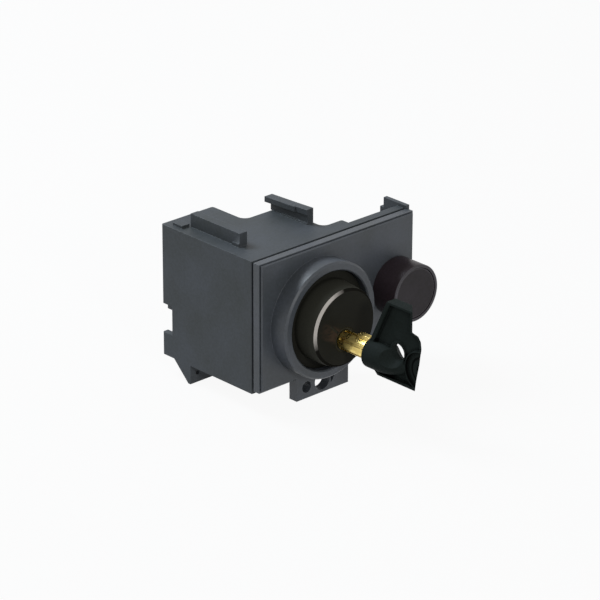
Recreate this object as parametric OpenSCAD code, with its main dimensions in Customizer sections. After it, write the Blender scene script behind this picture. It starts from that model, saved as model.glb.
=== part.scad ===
/* [Front cover] */
// Height of the front panel
cover_h = 49.5; // [48:0.1:56]
// Thickness of the front cover
cover_t = 3.9; // [3.6:0.1:6]
// How far the cover's edge stands out past the front panel
edge_out = 0.4; // [0.2:0.1:0.6]
// Width of the seam between the front panel and the cover's edge
seam_w = 0.4; // [0.3:0.05:0.6]
// Depth of the seam that runs round the front panel
seam_d = 0.6; // [0.3:0.1:1]
// Bevel round the front panel
panel_bevel = 0.45; // [0.3:0.05:0.5]
// Thickness of the panel in front of the seam
panel_t = 0.55; // [0.5:0.05:1.2]

/* [Collar ring] */
// Lock axis, measured from the left edge of the cover
lock_x = 26.8; // [25:0.1:28]
// Lock axis, measured up from the bottom edge of the cover
lock_z = 23.1; // [22.6:0.1:26]
// Outer radius of the collar ring
ring_r = 22.4; // [21:0.1:22.5]
// Radius of the recess inside the collar ring
recess_r = 19; // [16.5:0.1:20]
// How far the collar ring stands out of the cover
ring_h = 7.9; // [6:0.1:12]

/* [Fixing lug] */
// Left edge of the fixing lug, from the left edge of the cover
lug_x = 17.2; // [16:0.1:19]
// Width of the fixing lug
lug_w = 25.9; // [24:0.1:28]
// How far the lug and the foot reach below the cover
lug_h = 8.8; // [8.6:0.1:10]
// Radius of the fixing hole, for an M4 screw
fix_r = 2.2; // [1.6:0.05:2.4]
// Fixing hole, measured from the left edge of the lug
fix_x = 5; // [4.6:0.1:5.5]
// Fixing hole, measured down from the bottom edge of the cover
fix_drop = 4.4; // [4.2:0.1:4.8]
// Length of the boss behind the fixing hole
fix_boss = 2; // [1:0.1:4]
// Radius of the sealing hole in the lug
seal_r = 3.8; // [3:0.1:3.9]
// Sealing hole, measured from the left edge of the lug
seal_x = 12.9; // [12:0.1:13.5]

/* [Rear housing] */
// Gap between the cover and the full width of the housing
neck_gap = 1.4; // [0.6:0.1:2]
// How far the neck lies inside the outline
neck_in = 0.8; // [0.4:0.1:1.2]
// Depth of the housing behind the gap
body_d = 48.8; // [46:0.1:60]
// Gap between the barrel's thread and the side cover
side_gap = 1.1; // [0.7:0.1:3]
// Thickness of the lock block's rear wall
block_back = 2.7; // [2:0.1:3.5]
// Width of the narrow rear part of the block
tail_w = 25; // [20:0.5:27]
// Thickness of the flange behind the cover
flange_t = 3.45; // [3:0.05:4.5]
// How far the pad beside the block reaches to the right
pad_w = 9.4; // [7:0.1:10]
// Depth of the pad beside the block
pad_d = 6.9; // [5.5:0.1:7.3]
// How far the housing stands above the cover
rise = 0.3; // [0.1:0.1:1.5]
// How far the housing hangs below the cover
sink = 2.1; // [1:0.1:2.4]
// Wall thickness of the housing
wall = 2.5; // [2:0.1:3]
// Height of the lowest step of the housing's floor and ceiling
floor_t = 3.8; // [3.6:0.1:5]
// Thickness of the ribs between the rear pockets
pocket_rib = 1.8; // [1.2:0.1:3]
// Thickness of the wall that the lock is bolted to
front_wall = 3.8; // [3:0.1:4]
// Thickness of the end wall on the right of the flange
return_t = 1.7; // [1:0.1:1.8]
// How far the end wall stands out past the front panel
return_out = 1.5; // [0.6:0.1:1.8]
// How far the end wall reaches back from the cover
return_d = 13.6; // [8:0.1:20]

/* [Clips and foot] */
// Height of the clip rib on the left
rib_h = 5.2; // [3:0.1:7]
// Height of the hook on the right
hook_h = 5.8; // [4:0.1:8]
// Thickness of the hook's top flange
hook_t = 2.1; // [1.5:0.1:2.6]
// Thickness of the hook's web
web_t = 2.7; // [2:0.1:3]
// Height of the small locating pad
nub_h = 1; // [0.6:0.1:1.5]
// Depth of the notch in the rear left edge
notch_d = 5.3; // [3:0.1:6]
// Height of the notch's lower end above the housing's bottom
notch_z = 9; // [6:0.1:12]
// Height of the notch in the rear left edge
notch_h = 11.6; // [8:0.1:14]
// Wall thickness of the wedge foot
foot_t = 2; // [1.5:0.1:3]
// How much lower the foot reaches than the lug
foot_drop = 0.8; // [0:0.1:1.2]
// Length of the wedge foot
foot_l = 9; // [7:0.1:10]

/* [Lock barrel] */
// Radius of the barrel's head
head_r = 15.5; // [13.5:0.1:16]
// How far the head stands out of the collar ring
head_out = 7.4; // [4:0.1:10]
// Bevel round the head
head_bevel = 1.3; // [0.5:0.1:1.6]
// How far the barrel's rosette lies below the front of the collar ring
rosette_sink = 3; // [1:0.1:4]
// Thickness of the rosette
rosette_t = 1.6; // [1:0.1:2.5]
// Gap between the rosette and the collar ring
rosette_gap = 0.2; // [0.1:0.05:0.5]
// Radius of the threaded part of the barrel
thread_r = 11.5; // [11.2:0.1:11.8]
// Length of the threaded part behind the cover
thread_l = 21.8; // [21.6:0.1:22.4]
// How far the key axis lies below the barrel's axis
key_drop = 5; // [4.6:0.1:5.1]
// Width across flats of the barrel nut
nut_af = 27; // [26.6:0.1:27.2]
// Thickness of the barrel nut
nut_t = 3.5; // [2.5:0.1:3.8]
// Thickness of the barrel washer
lock_washer_t = 0.6; // [0.4:0.1:0.8]

/* [Key and spindle] */
// Outer radius of the tubular key shank
tube_r = 3.75; // [3.7:0.05:3.8]
// Inner radius of the tubular key shank
tube_bore = 2.55; // [2.5:0.05:2.6]
// How far the key goes into the barrel
key_in = 8.9; // [7:0.1:9.5]
// Length of the shank between barrel and bow
shank_l = 14.1; // [12:0.1:18]
// Length of the shank's index tab
tab_l = 6.5; // [4:0.1:8]
// How far the shank reaches into the bow
shank_in = 8; // [6:0.1:10]
// Radius of the spindle's body
spindle_r = 5.55; // [5.3:0.05:5.6]
// Length of the spindle's body
spindle_l = 10.2; // [8:0.1:10.4]
// Radius of the spindle's shaft
shaft_r = 2.1; // [1.8:0.05:2.3]
// Width of the square tail that drives the pinion
tail_sq = 2.9; // [2.5:0.1:2.9]
// Radius of the lock pins
pin_r = 0.6; // [0.5:0.02:0.62]
// Length of the driver pins
driver_l = 3; // [2:0.1:4]
// Running clearance of turning and sliding pieces
fit = 0.05; // [0.03:0.01:0.09]

/* [Key bow] */
// Radius of the bow's hub
hub_r = 5.8; // [5.4:0.1:6.2]
// Length of the hub's straight part
hub_l = 5; // [3:0.1:8]
// Length of the hub's tapered part
hub_taper = 13.8; // [12:0.1:14.5]
// Radius of the arc that tapers the hub
hub_arc = 27; // [26:0.5:34]
// Thickness of the bow's blade
bow_t = 4.5; // [3.6:0.1:5]
// Length of the blade from the hub's front to its end
bow_l = 26.8; // [26:0.1:30]
// Height of the blade above the key axis
bow_up = 23; // [20:0.1:26]
// Depth of the blade below the key axis
bow_down = 6.9; // [6:0.1:8]
// Height of the raised rim on each side of the blade
rim_h = 1.5; // [1:0.05:1.6]
// Width of the raised rim on the blade
rim_w = 0.95; // [0.8:0.05:1.4]
// Extra width of the rim on the barrel's side
rim_extra = 0.8; // [0:0.1:1.2]
// Lean of the blade's end, from square
end_lean = 46; // [20:1:50]
// Fall of the leaning end towards the far side
end_fall = 23.5; // [0:0.5:25]
// Radius of the round dish at the blade's end
dish_r = 7.1; // [5:0.1:7.5]
// Depth of the dish
dish_d = 1.2; // [0.4:0.05:1.3]
// Radius of the key ring hole
ring_hole_r = 3.2; // [2.4:0.05:3.4]
// Key ring hole, measured from the hub's front
ring_hole_s = 14.1; // [12:0.1:15]
// Key ring hole, measured up from the key axis
ring_hole_z = 4.8; // [4.6:0.1:6]
// Length of the key ring hole
ring_hole_l = 2.8; // [2:0.1:3]

/* [Bolt drive] */
// Module of the pinion's teeth
gear_m = 1; // [0.9:0.02:1.06]
// Number of teeth on the pinion
gear_n = 12; // [12:1:12]
// Thickness of the pinion
gear_t = 3; // [2.4:0.1:3.2]
// Backlash between pinion and rack
backlash = 0.15; // [0.1:0.01:0.25]
// Height of the locking bolt above the rack's root
bolt_h = 5.9; // [4:0.1:7]
// Sliding clearance round the locking bolt
slide_gap = 0.15; // [0.1:0.01:0.25]
// Free depth behind the pinion screw
drive_gap = 2.6; // [2:0.1:6]
// Thickness of the side cover
side_t = 2.2; // [1.8:0.1:2.6]

/* [Push button] */
// Gap between the collar ring and the button's collar
button_gap = 6; // [4:0.1:12]
// How far the button's collar stands over the cover's right edge
button_over = 1.4; // [0:0.1:1.6]
// Radius of the button's collar
collar_r = 11.1; // [10.6:0.1:12]
// How far the button's collar stands out of the cover
collar_h = 11.6; // [11:0.1:15]
// Wall thickness of the button's collar
collar_wall = 1.2; // [1:0.1:1.6]
// Thickness of the collar's floor
collar_floor = 2.2; // [1.6:0.1:2.6]
// Button axis, measured up from the bottom edge of the cover
button_z = 23.5; // [22:0.1:28]
// How far the cap lies below the collar's rim
cap_sink = 0.3; // [0.1:0.1:1]
// Thickness of the cap's face
cap_t = 1.6; // [1.4:0.1:2]
// Radius of the collar's spigot
spigot_r = 7.4; // [6.5:0.1:7.8]
// How far the spigot reaches behind the flange
spigot_out = 3.65; // [3.2:0.05:6]
// Radius of the collar nut
collar_nut_r = 9; // [8.6:0.1:9.2]
// Thickness of the collar nut
collar_nut_t = 3; // [2:0.1:3.1]
// Radius of the push rod
rod_r = 2.5; // [2:0.1:3]
// How far the push rod reaches behind the spigot
rod_out = 3; // [2:0.1:8]
// Radius of the button spring
spring_r = 5.4; // [5:0.1:6]
// Radius of the button spring's wire
wire_r = 0.35; // [0.2:0.05:0.4]
// Travel of the button
travel = 3; // [2:0.1:3.2]

/* [Screws] */
// Radius of the cover screws
screw_r = 1.4; // [1.2:0.05:1.6]
// Radius of the cover screws' heads
screw_head_r = 2.6; // [2.2:0.1:2.7]
// Height of the cover screws' heads
screw_head_t = 1.7; // [1.4:0.1:2]
// Cover screws, measured in from the cover's top and bottom edges
screw_in = 7; // [5:0.1:9]
// Radius of the side cover screws
side_screw_r = 1.1; // [0.9:0.05:1.2]
// Radius of the pinion screw
pinion_screw_r = 0.8; // [0.7:0.05:0.9]
// Height of the pinion screw's head
pinion_head_t = 1.7; // [1.4:0.1:2]
// Thickness of the pinion washer
pinion_washer_t = 0.6; // [0.4:0.1:0.8]

/* [Hidden] */
$fn = 64;
eps = 0.01;
slate = [0.27, 0.28, 0.31];
black = [0.12, 0.12, 0.13];
brass = [0.75, 0.6, 0.32];
steel = [0.62, 0.63, 0.65];

// Front to back stations, from the cover's front face at 0
body_y = cover_t + neck_gap;
wall_y = cover_t + front_wall;
flange_y = body_y + flange_t;
rear_y = body_y + body_d;
face_y = -ring_h - head_out;
rosette_y = -ring_h + rosette_sink;
thread_y = cover_t + thread_l;
tip_y = face_y + key_in;
body_front = tip_y + 0.2;
shear_y = body_front + spindle_l;
shear_gap = 0.1;
block_front = shear_y + shear_gap;
pin_block_l = 12;
pin_block_y = block_front + pin_block_l;
pinion_y = thread_y + 0.4;
washer_y = pinion_y + gear_t;
screw_y = washer_y + pinion_washer_t;
mech_y = screw_y + pinion_head_t + drive_gap;
block_y = mech_y + block_back;
opening_y = body_y + pad_d + 1;
hub_y = face_y - shank_l;
cap_y = cap_sink - collar_h;
clip_y = flange_y + spigot_out;

// Heights, from the cover's bottom edge at 0
top_z = cover_h + rise;
bottom_z = -sink;
floor_z = -lug_h;
foot_z = floor_z - foot_drop;
key_z = lock_z - key_drop;
fix_z = -fix_drop;
seal_z = fix_z + 0.4;

// Places across the width, from the cover's left edge at 0
fix_at = lug_x + fix_x;
side_x = lock_x + thread_r + side_gap;
block_w = side_x + side_t;
button_x = lock_x + ring_r + button_gap + collar_r;
cover_w = button_x + collar_r - button_over;
end_x = cover_w + return_out;
seal_at = lug_x + seal_x;

// Housing interior
ceiling_z = top_z - floor_t + 0.2;
ground_z = bottom_z + floor_t;
pocket_h = (ceiling_z + 0.5 - ground_z - 2 * pocket_rib) / 3;

// Push button
cap_r = collar_r - collar_wall - 0.1;
cap_l = collar_h - cap_sink - collar_floor - travel - 0.5;

// Pin block and its retaining pin
cross_y = (pin_block_y + block_front) / 2;
cross_r = 0.8;

// Gear drive
pitch_r = gear_m * gear_n / 2;
addendum = 0.8 * gear_m;
dedendum = gear_m;
pressure = 25;
half_tooth = (PI * gear_m / 2 - backlash) / 2;
rack_z = key_z + pitch_r;
bolt_top = rack_z + dedendum + bolt_h;
bolt_low = rack_z - addendum - 0.1;
throw = pitch_r * PI / 2;
bolt_y0 = pinion_y + 0.1;
bolt_y1 = pinion_y + gear_t - 0.1;
bolt_x0 = lock_x - throw - 8.4;
bolt_x1 = block_w - 0.3;
bolt_full_x = lock_x + 5;

// Lock pins: every eighth place round the spindle but the lowest
pin_pitch = (tube_bore + tube_r) / 2 + 0.03;
pin_angles = [0, 45, 90, 135, 180, 225, 315];
pin_cuts = [1.2, 2.4, 0.8, 2, 2.8, 1.6, 2.2];

// The cover's bottom left front corner lies here when the fixing hole is the origin
module placed() translate([-fix_at, 0, -fix_z]) children();

// A flat shape in X and Z, given its depth from y0 back to y1
module deep(y0, y1) translate([0, y1, 0]) rotate([90, 0, 0]) linear_extrude(y1 - y0) children();

// A flat shape in Y and Z, given its width from x0 to x1
module wide(x0, x1) translate([x0, 0, 0]) rotate([90, 0, 90]) linear_extrude(x1 - x0) children();

// A flat shape in X and Y, given its height from z0 to z1
module tall(z0, z1) translate([0, 0, z0]) linear_extrude(z1 - z0) children();

// A box between two corners
module block(a, b) translate(a) cube(b - a);

// A rod along Y, or a cone where the two radii differ
module rod(x, z, r, y0, y1, r_back = -1)
    translate([x, y1, z])
        rotate([90, 0, 0])
            cylinder(r1 = r_back < 0 ? r : r_back, r2 = r, h = y1 - y0);

// The sliver between a square corner and a round one, its corner at x, y
module sliver(x, y, r, turn)
    translate([x, y])
        rotate(turn)
            difference() {
                translate([-eps, -eps]) square(r + eps);
                translate([r, r]) circle(r);
            }

// A rectangle with round corners
module soft_rect(x0, y0, x1, y1, r)
    difference() {
        translate([x0, y0]) square([x1 - x0, y1 - y0]);
        sliver(x0, y0, r, 0);
        sliver(x1, y0, r, 90);
        sliver(x1, y1, r, 180);
        sliver(x0, y1, r, 270);
    }

// A coil spring along Y, as one closed tube
function coil_point(x, z, r, y0, y1, turns, t) =
    [x + r * cos(360 * turns * t), y0 + (y1 - y0) * t, z + r * sin(360 * turns * t)];

module coil(x, z, r, wire, y0, y1, turns, steps, sides) {
    n = turns * steps;
    rings = [for (i = [0:n]) let (a = 360 * i / steps, p = coil_point(x, z, r, y0, y1, turns, i / n))
        [for (k = [0:sides - 1]) let (b = 360 * k / sides, w = wire * cos(b))
            p + [w * cos(a), wire * sin(b), w * sin(a)]]];
    points = [for (ring = rings) for (p = ring) p];
    skin = [for (i = [0:n - 1]) for (k = [0:sides - 1]) let (j = (k + 1) % sides)
        [i * sides + k, i * sides + j, (i + 1) * sides + j, (i + 1) * sides + k]];
    first = [for (k = [sides - 1:-1:0]) k];
    last = [for (k = [0:sides - 1]) n * sides + k];
    polyhedron(points, concat([first], skin, [last]), convexity = 8);
}

// Where each cover screw goes
module at_cover_screws()
    for (x = [button_x - collar_r + 1, end_x - return_t - screw_head_r - 0.5])
        for (z = [screw_in, cover_h - screw_in])
            translate([x, 0, z]) children();

// Where each side cover screw goes
module at_side_screws()
    for (y = [opening_y + 3, mech_y - 3])
        for (z = [ground_z + 2.4, ceiling_z - 2.4])
            translate([0, y, z]) children();

// The housing's plan: lock block, narrow tail, pad and thin flange
module body_plan() {
    difference() {
        union() {
            translate([0, body_y]) square([tail_w, body_d]);
            translate([0, body_y]) square([block_w, block_y - body_y]);
            translate([0, body_y]) square([end_x, flange_t]);
            translate([0, body_y]) square([block_w + pad_w, pad_d]);
            sliver(block_w, body_y + pad_d, 3, 0);
            sliver(tail_w, block_y, 3.3, 0);
        }
        sliver(0, rear_y, 0.6, 270);
        sliver(tail_w, rear_y, 1, 180);
        sliver(block_w, block_y, 1, 180);
        sliver(block_w + pad_w, body_y + pad_d, 0.8, 180);
        sliver(0, body_y, 0.4, 0);
    }
}

// The clip rib, locating pad and hook on top of the housing
module top_clips() {
    rib_y0 = body_y + 12.9;
    rib_y1 = body_y + 39.5;
    block([6, rib_y0, top_z - eps], [9.6, rib_y1, top_z + rib_h]);
    block([5.4, rib_y0 + 0.1, top_z - eps], [6 + eps, rib_y0 + 3.4, top_z + 1.3]);
    block([2.3, rib_y1 + 0.6, top_z - eps], [5.9, rib_y1 + 5.6, top_z + nub_h]);
    hook_y0 = body_y + 12.2;
    hook_y1 = body_y + 32.2;
    hook_z = top_z + hook_h;
    fall = hook_h / 6;
    wide(block_w - web_t, block_w)
        polygon([
            [hook_y0, top_z - eps], [hook_y0, hook_z], [hook_y1, hook_z - fall], [hook_y1, top_z - eps]
        ]);
    block([block_w - web_t - 0.6, hook_y0, top_z - eps], [block_w - web_t + eps, hook_y1 - 6, top_z + 0.5]);
    wide(block_w - web_t - 1.1, block_w)
        polygon([
            [hook_y0 + 6.2, hook_z - hook_t - fall / 3], [hook_y0 + 6.2, hook_z - fall / 3],
            [hook_y1 + 2.2, hook_z - fall], [hook_y1 + 2.2, hook_z - fall - hook_t]
        ]);
    wide(block_w - web_t - 0.6, block_w)
        polygon([
            [hook_y0, hook_z - hook_t], [hook_y0, hook_z], [hook_y0 + 6.3, hook_z - fall / 3],
            [hook_y0 + 6.3, hook_z - fall / 3 - hook_t]
        ]);
}

// The wedge foot under the tail: a front wall, a sole and side walls round cored pockets
module foot() {
    front = block_y + 2.3;
    back = front + foot_l;
    slope = foot_l / (foot_z - bottom_z);
    difference() {
        wide(0, tail_w)
            polygon([[front, bottom_z + eps], [front, foot_z], [front + 1.2, foot_z], [back, bottom_z + eps]]);
        for (x0 = [foot_t, tail_w / 2 + foot_t / 4])
            wide(x0, x0 + tail_w / 2 - 1.25 * foot_t)
                polygon([
                    [front + foot_t, bottom_z - 0.8], [front + foot_t, foot_z + foot_t],
                    [back + slope * foot_t, foot_z + foot_t], [back + 3, bottom_z - 0.8]
                ]);
        rod(3.6, bottom_z - 3.6, 0.9, front - 1, front + foot_t + 1);
    }
}

// The whole moulding before it is cored: block, tail, flange, clips and foot
module housing_blank() {
    tall(bottom_z, top_z) body_plan();
    deep(cover_t, body_y + eps)
        soft_rect(neck_in, neck_in - sink, cover_w - neck_in, top_z - neck_in, 0.6);
    block([end_x - return_t, cover_t, 8], [end_x, cover_t + return_d - 1.8, cover_h + 1.6]);
    block([end_x - return_t, cover_t, 8], [end_x, cover_t + return_d, cover_h - 2.4]);
    top_clips();
    foot();
}

// The space of the tail, behind the lock block
module tail_zone() block([-1, block_y, foot_z - 1], [tail_w + 0.5, rear_y + 1, top_z + rib_h + 1]);

// The space of the flange, beside the lock block
module flange_zone() {
    block([block_w, 0, foot_z], [end_x + 1, body_y + pad_d + 0.5, cover_h + 3]);
    block([block_w + pad_w + 1, 0, foot_z], [end_x + 1, cover_t + return_d + 1, cover_h + 3]);
}

// The lock block: a box round the lock and its drive, open towards the side cover
module rear_housing() placed() color(slate)
    difference() {
        housing_blank();
        tail_zone();
        flange_zone();
        difference() {
            block([wall, wall_y, ground_z], [side_x, mech_y, ceiling_z]);
            at_side_screws()
                translate([side_x - 9, 0, 0])
                    rotate([0, 90, 0])
                        cylinder(r = 2.6, h = 9 + eps);
        }
        block([wall, wall_y, lock_z - nut_af / 1.7],
            [lock_x + nut_af / 2 + 0.3, wall_y + lock_washer_t + nut_t + 0.5, lock_z + nut_af / 1.7]);
        block([side_x - eps, opening_y, ground_z], [block_w + eps, mech_y, ceiling_z]);
        rod(lock_x, lock_z, thread_r + fit, cover_t - eps, wall_y + eps);
        rod(fix_at, fix_z, fix_r + 1.2, cover_t - eps, cover_t + fix_boss + 0.2);
        at_side_screws()
            translate([side_x - 7, 0, 0])
                rotate([0, 90, 0])
                    cylinder(r = side_screw_r + 0.01, h = 7 + eps);
    }

// The tail: three pockets open to the rear, with the wedge foot below
module tail_box() placed() color(slate)
    difference() {
        intersection() {
            housing_blank();
            tail_zone();
        }
        for (i = [0:2])
            translate([0, 0, ground_z + i * (pocket_h + pocket_rib)])
                block([wall, block_y - 1, 0], [tail_w - wall, rear_y + eps, pocket_h]);
        block([-eps, rear_y - notch_d, bottom_z + notch_z],
            [wall + eps, rear_y + eps, bottom_z + notch_z + notch_h]);
    }

// The flange that carries the push button, with the end wall
module side_flange() placed() color(slate)
    difference() {
        intersection() {
            housing_blank();
            flange_zone();
        }
        rod(button_x, button_z, spigot_r + fit, cover_t - eps, flange_y + eps);
        at_cover_screws() rod(0, 0, screw_r + 0.2, cover_t - eps, flange_y + eps);
    }

// The guide that carries the locking bolt, behind, above and at the end of it
module bolt_guide() placed() color(slate)
    difference() {
        union() {
            block([wall, bolt_y1 + slide_gap, bolt_low - slide_gap],
                [side_x - slide_gap, mech_y, bolt_top + 2.5]);
            block([wall, thread_y + 0.2, bolt_top + slide_gap],
                [side_x - slide_gap, mech_y, bolt_top + 2.5]);
            block([bolt_x0 - 2.3, thread_y + 0.2, bolt_low - slide_gap],
                [bolt_x0 - 0.3, mech_y, bolt_top + 2.5]);
        }
        rod(lock_x, key_z, 5.2, thread_y, mech_y + 1);
    }

// The cover's plate: base layer, seam and bevelled front panel
module cover_plate() {
    deep(panel_t + seam_w, cover_t)
        translate([-edge_out, -edge_out]) square([cover_w + 2 * edge_out, cover_h + 2 * edge_out]);
    deep(panel_t - eps, panel_t + seam_w + eps)
        translate([seam_d, seam_d]) square([cover_w - 2 * seam_d, cover_h - 2 * seam_d]);
    intersection() {
        wide(0, cover_w)
            polygon([
                [0, panel_bevel], [panel_bevel, 0.1], [panel_t, 0.1], [panel_t, cover_h - 0.1],
                [panel_bevel, cover_h - 0.1], [0, cover_h - panel_bevel]
            ]);
        tall(0, cover_h)
            polygon([
                [0.1, panel_bevel], [panel_bevel, 0], [cover_w - panel_bevel, 0],
                [cover_w - 0.1, panel_bevel], [cover_w - 0.1, panel_t], [0.1, panel_t]
            ]);
    }
}

module front_cover() placed() color(slate)
    difference() {
        union() {
            cover_plate();
            rod(lock_x, lock_z, ring_r, -ring_h + 0.7, 1);
            rod(lock_x, lock_z, ring_r - 0.7, -ring_h, -ring_h + 0.7 + eps, r_back = ring_r);
            deep(0, cover_t)
                translate([lug_x, floor_z]) square([lug_w, lug_h + 2]);
            rod(fix_at, fix_z, fix_r + 1, cover_t - eps, cover_t + fix_boss);
        }
        rod(lock_x, lock_z, recess_r, -ring_h - 1, cover_t + 1);
        rod(lock_x, lock_z, recess_r + 0.5, -ring_h - eps, -ring_h + 0.5, r_back = recess_r);
        rod(fix_at, fix_z, fix_r, -1, cover_t + fix_boss + 1);
        rod(seal_at, seal_z, seal_r, -ring_h - 1, cover_t + 1);
        deep(-eps, 2)
            polygon([
                [seal_at + seal_r + 0.4, floor_z + 2.2], [seal_at + seal_r + 0.4, -1.2],
                [seal_at + seal_r + 4.2, -1.2]
            ]);
        rod(button_x, button_z, spigot_r + fit, -1, cover_t + 1);
        at_cover_screws() rod(0, 0, screw_r + 0.01, cover_t - 2.6, cover_t + eps);
    }

module cover_screws() placed() color(steel) {
    head_y = flange_y + screw_head_t;
    at_cover_screws()
        difference() {
            union() {
                rod(0, 0, screw_r, cover_t - 2.4, flange_y + eps);
                rod(0, 0, screw_head_r, flange_y, head_y - 0.5);
                rod(0, 0, screw_head_r, head_y - 0.5 - eps, head_y, r_back = screw_head_r - 0.6);
            }
            block([-1.4, head_y - 0.9, -0.3], [1.4, head_y + 1, 0.3]);
            block([-0.3, head_y - 0.9, -1.4], [0.3, head_y + 1, 1.4]);
        }
}

module side_cover() placed() color(slate)
    difference() {
        wide(side_x, block_w)
            soft_rect(opening_y + fit, ground_z + fit, mech_y - fit, ceiling_z - fit, 0.05);
        block([side_x - 1, bolt_y0 - slide_gap, bolt_low - slide_gap],
            [block_w + 1, bolt_y1 + slide_gap, bolt_top + slide_gap]);
        at_side_screws()
            translate([side_x - 1, 0, 0])
                rotate([0, 90, 0])
                    cylinder(r = side_screw_r + 0.15, h = side_t + 2);
        at_side_screws()
            translate([block_w - 1.2, 0, 0])
                rotate([0, 90, 0])
                    cylinder(r = side_screw_r + 1.15, h = 2);
    }

module side_cover_screws() placed() color(steel)
    at_side_screws()
        difference() {
            union() {
                translate([side_x - 6, 0, 0])
                    rotate([0, 90, 0])
                        cylinder(r = side_screw_r, h = 6 + side_t - 1);
                translate([block_w - 1.2, 0, 0])
                    rotate([0, 90, 0])
                        cylinder(r = side_screw_r + 1.05, h = 1.1);
            }
            block([block_w - 0.7, -1.5, -0.25], [block_w + 1, 1.5, 0.25]);
            block([block_w - 0.7, -0.25, -1.5], [block_w + 1, 0.25, 1.5]);
        }

module lock_barrel() placed() color(black)
    difference() {
        union() {
            rod(lock_x, lock_z, head_r, face_y + head_bevel, cover_t);
            rod(lock_x, lock_z, head_r - head_bevel, face_y, face_y + head_bevel + eps, r_back = head_r);
            rod(lock_x, lock_z, recess_r - rosette_gap, rosette_y, rosette_y + rosette_t);
            rod(lock_x, lock_z, thread_r, cover_t - eps, thread_y);
        }
        rod(lock_x, key_z, tube_r + 2 * fit, face_y - 1, body_front);
        rod(lock_x, key_z, tube_r + 1.1, face_y - eps, face_y + 0.5, r_back = tube_r + 0.6);
        rod(lock_x, key_z, spindle_r + fit, body_front - 0.1, thread_y + 1);
        translate([lock_x, cross_y, lock_z - thread_r - 1])
            cylinder(r = cross_r + 0.02, h = key_z - lock_z + thread_r);
        translate([lock_x, face_y, key_z])
            rotate([0, -135, 0])
                block([tube_r + 1.4, -1, -0.45], [tube_r + 6.6, 0.4, 0.45]);
    }

module barrel_washer() placed() color(steel)
    difference() {
        rod(lock_x, lock_z, nut_af / 2 - 0.2, wall_y, wall_y + lock_washer_t);
        rod(lock_x, lock_z, thread_r + fit, wall_y - 1, wall_y + lock_washer_t + 1);
    }

module barrel_nut() placed() color(brass) {
    y0 = wall_y + lock_washer_t;
    difference() {
        translate([lock_x, y0 + nut_t, lock_z])
            rotate([90, 0, 0])
                rotate(30)
                    cylinder(r = nut_af / sqrt(3), h = nut_t, $fn = 6);
        rod(lock_x, lock_z, thread_r + fit, y0 - 1, y0 + nut_t + 1);
    }
}

// One hole or pin at each pin place
module at_pins() for (i = [0:len(pin_angles) - 1]) {
    a = pin_angles[i];
    $cut = pin_cuts[i];
    translate([lock_x + pin_pitch * cos(a), 0, key_z + pin_pitch * sin(a)]) children();
}

module lock_spindle() placed() color(brass)
    difference() {
        union() {
            rod(lock_x, key_z, tube_bore - 2 * fit - 0.5, face_y + 0.4, face_y + 0.9, r_back = tube_bore - 2 * fit);
            rod(lock_x, key_z, tube_bore - 2 * fit, face_y + 0.9 - eps, body_front + 1);
            block([lock_x - 0.4, face_y + 1.2, key_z - tube_r + 0.4], [lock_x + 0.4, body_front + 1, key_z]);
            rod(lock_x, key_z, spindle_r, body_front, shear_y);
            rod(lock_x, key_z, shaft_r, shear_y - eps, pinion_y);
            intersection() {
                block([lock_x - tail_sq / 2, pinion_y - eps, key_z - tail_sq / 2],
                    [lock_x + tail_sq / 2, pinion_y + gear_t, key_z + tail_sq / 2]);
                rod(lock_x, key_z, shaft_r, pinion_y - 1, pinion_y + gear_t + 1);
            }
        }
        at_pins() rod(0, 0, pin_r + fit, body_front - 1, shear_y + 1);
        rod(lock_x, key_z, pinion_screw_r, pinion_y - 6, pinion_y + gear_t + 1);
    }

module key_pins() placed() color(brass)
    at_pins() {
        rod(0, 0, pin_r, tip_y - $cut + 0.35, shear_y);
        rod(0, 0, pin_r - 0.25, tip_y - $cut + 0.05, tip_y - $cut + 0.35 + eps, r_back = pin_r);
    }

module pin_block() placed() color(steel)
    difference() {
        rod(lock_x, key_z, spindle_r, block_front, pin_block_y);
        rod(lock_x, key_z, shaft_r + fit, block_front - 1, pin_block_y + 1);
        at_pins() rod(0, 0, pin_r + fit, block_front - 1, pin_block_y - 0.8);
        translate([lock_x, cross_y, key_z - spindle_r - 1])
            cylinder(r = cross_r + 0.02, h = spindle_r - shaft_r - 0.1);
    }

module driver_pins() placed() color(steel)
    at_pins() rod(0, 0, pin_r, block_front, block_front + driver_l);

module pin_springs() placed() color(steel)
    at_pins() coil(0, 0, pin_r - 0.16, 0.11, block_front + driver_l + 0.13, pin_block_y - 0.93, 6, 6, 3);

module retaining_pin() placed() color(steel)
    translate([lock_x, cross_y, lock_z - thread_r + 0.1])
        cylinder(r = cross_r, h = key_z - shaft_r - 1.2 - lock_z + thread_r);

module spindle_bush() placed() color(brass)
    difference() {
        rod(lock_x, key_z, spindle_r, pin_block_y, thread_y);
        rod(lock_x, key_z, shaft_r + fit, pin_block_y - 1, thread_y + 1);
    }

// Pinion outline: involute flanks above the base circle, radial ones below it
function involute(a) = tan(a) * 180 / PI - a;

function flank(r, base, at_pitch) =
    at_pitch + involute(pressure) - involute(acos(min(1, base / r)));

module pinion_profile() {
    base = pitch_r * cos(pressure);
    tip = pitch_r + addendum;
    root = pitch_r - dedendum;
    at_pitch = half_tooth / pitch_r * 180 / PI;
    radii = [for (i = [0:4]) base + (tip - base) * i / 4];
    low = flank(base, base, at_pitch);
    up = [for (r = radii) [r, flank(r, base, at_pitch)]];
    down = [for (i = [4:-1:0]) up[i]];
    one = concat([[root, low]], up, [for (p = down) [p[0], -p[1]]], [[root, -low]]);
    polygon([for (k = [0:gear_n - 1]) let (mid = 90 - 180 / gear_n - 360 * k / gear_n)
        for (p = one) p[0] * [cos(mid + p[1]), sin(mid + p[1])]]);
}

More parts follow.
